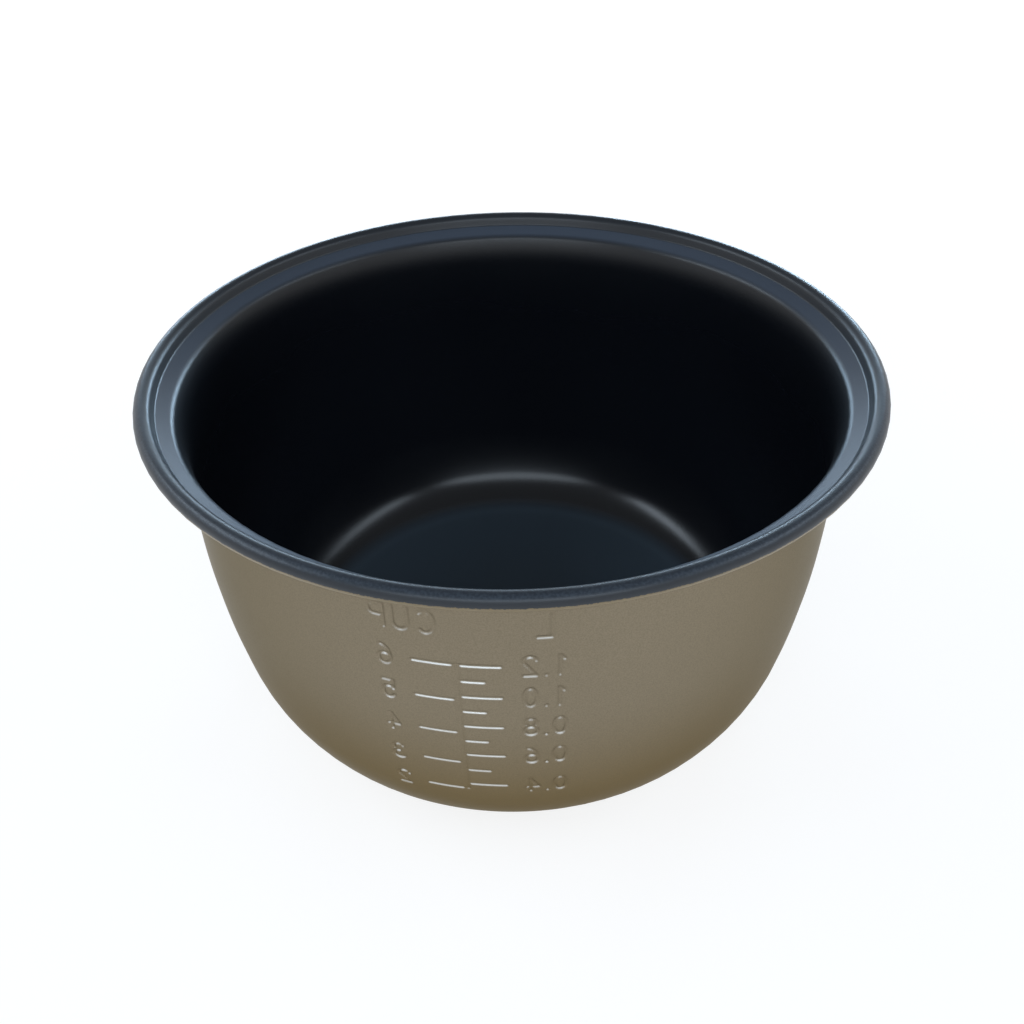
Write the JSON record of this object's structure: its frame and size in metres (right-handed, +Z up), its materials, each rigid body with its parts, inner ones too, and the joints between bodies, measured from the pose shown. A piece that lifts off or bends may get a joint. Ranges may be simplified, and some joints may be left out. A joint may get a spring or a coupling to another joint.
{
  "type": "rice cooker inner pot",
  "caption": "Deep round cooking pot with a curled rim, a curved lower wall, a flat base and a pressed measuring scale; it lifts out of a rice cooker.",
  "frame": {"origin": "centre of the flat base, on the surface that the pot stands on", "axes": "+Z up along the pot's axis; the pressed scale is at the front, towards -Y"},
  "size_m": [0.22, 0.22, 0.1162],
  "materials": {
    "pot_shell": "satin pressed sheet",
    "nonstick_lining": "smooth black non-stick coat",
    "outer_coating": "fine-grained champagne metallic coat"
  },
  "bodies": {
    "root": {"pot_shell": "pot_shell", "nonstick_lining": "nonstick_lining", "outer_coating": "outer_coating"}
  },
  "joints": []
}
